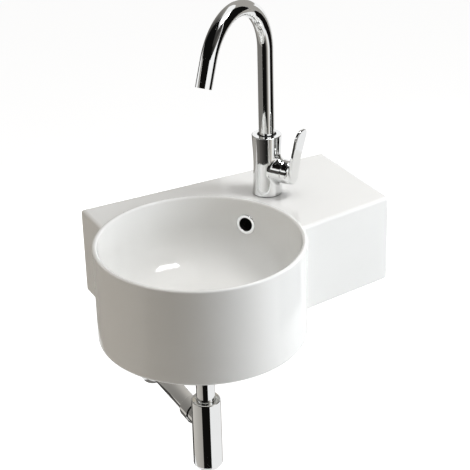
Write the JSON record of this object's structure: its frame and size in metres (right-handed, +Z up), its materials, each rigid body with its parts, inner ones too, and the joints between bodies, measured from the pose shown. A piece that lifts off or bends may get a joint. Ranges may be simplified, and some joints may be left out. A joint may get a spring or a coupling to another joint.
{
  "type": "wall-hung hand basin",
  "caption": "Wall-hung ceramic hand basin: round bowl bulging from a slab with a side deck, swan-neck lever mixer, push-plug waste and chrome bottle trap.",
  "frame": {"origin": "on the wall plane, midway between the two wall-fixing holes", "axes": "+X to the right as seen from the front, +Y into the wall, +Z up"},
  "size_m": [0.5185, 0.4225, 0.7867],
  "materials": {
    "glazed_ceramic": "glossy white glaze",
    "chrome": "polished chrome plate on brass",
    "brass": "machined",
    "steel": "zinc-plated",
    "rubber": "matte black",
    "nylon": "moulded"
  },
  "bodies": {
    "basin_assembly": {"basin": "glazed_ceramic", "boss_washer": "rubber", "cartridge_cover": "chrome", "cartridge_housing": "nylon", "cleanout_plug": "chrome", "cleanout_seal": "rubber", "click_guide": "nylon", "flange_gasket": "rubber", "horseshoe_gasket": "rubber", "horseshoe_plate": "steel", "outlet_nut": "chrome", "outlet_seal": "rubber", "overflow_ring": "chrome", "slip_washer": "nylon", "spout_bush_lower": "nylon", "spout_bush_upper": "nylon", "spout_retainer": "steel", "stud_nut": "steel", "tail_pipe": "chrome", "tail_union_nut": "chrome", "tail_washer": "rubber", "tap_base_gasket": "rubber", "tap_body": "chrome", "tap_stud": "steel", "trap_body": "chrome", "trap_cap_nut": "chrome", "trap_seal": "rubber", "wall_pipe": "chrome", "wall_rosette": "chrome", "waste_backnut": "brass", "waste_body": "chrome"},
    "spout": {"spout_tube": "chrome", "spout_foot": "brass", "spout_orings": "rubber", "aerator_sleeve": "nylon", "aerator_core": "nylon"},
    "mixer": {"cartridge_rotor": "nylon", "stem_pin": "steel"},
    "lever": {"lever": "chrome", "lever_stem": "brass", "lever_grub_screw": "steel"},
    "plug": {"plug_cap": "chrome", "plug_stem": "brass", "plug_seal": "rubber"}
  },
  "joints": [
    {"name": "spout_swivel", "type": "hinge", "parent": "basin_assembly", "child": "spout", "pos_m": [0.072, -0.097, 0.2], "axis": [0, 0, 1], "range_deg": [-55, 105]},
    {"name": "temperature_turn", "type": "hinge", "parent": "basin_assembly", "child": "mixer", "pos_m": [0.072, -0.097, 0.1], "axis": [0.5255, -0.8508, 0], "range_deg": [-45, 45]},
    {"name": "flow_tilt", "type": "hinge", "parent": "mixer", "child": "lever", "pos_m": [0.08409, -0.11657, 0.1], "axis": [0.8508, 0.5255, 0], "range_deg": [0, 20]},
    {"name": "plug_push", "type": "slide", "parent": "basin_assembly", "child": "plug", "axis": [0, 0, 1], "range_m": [-0.008, 0]}
  ]
}
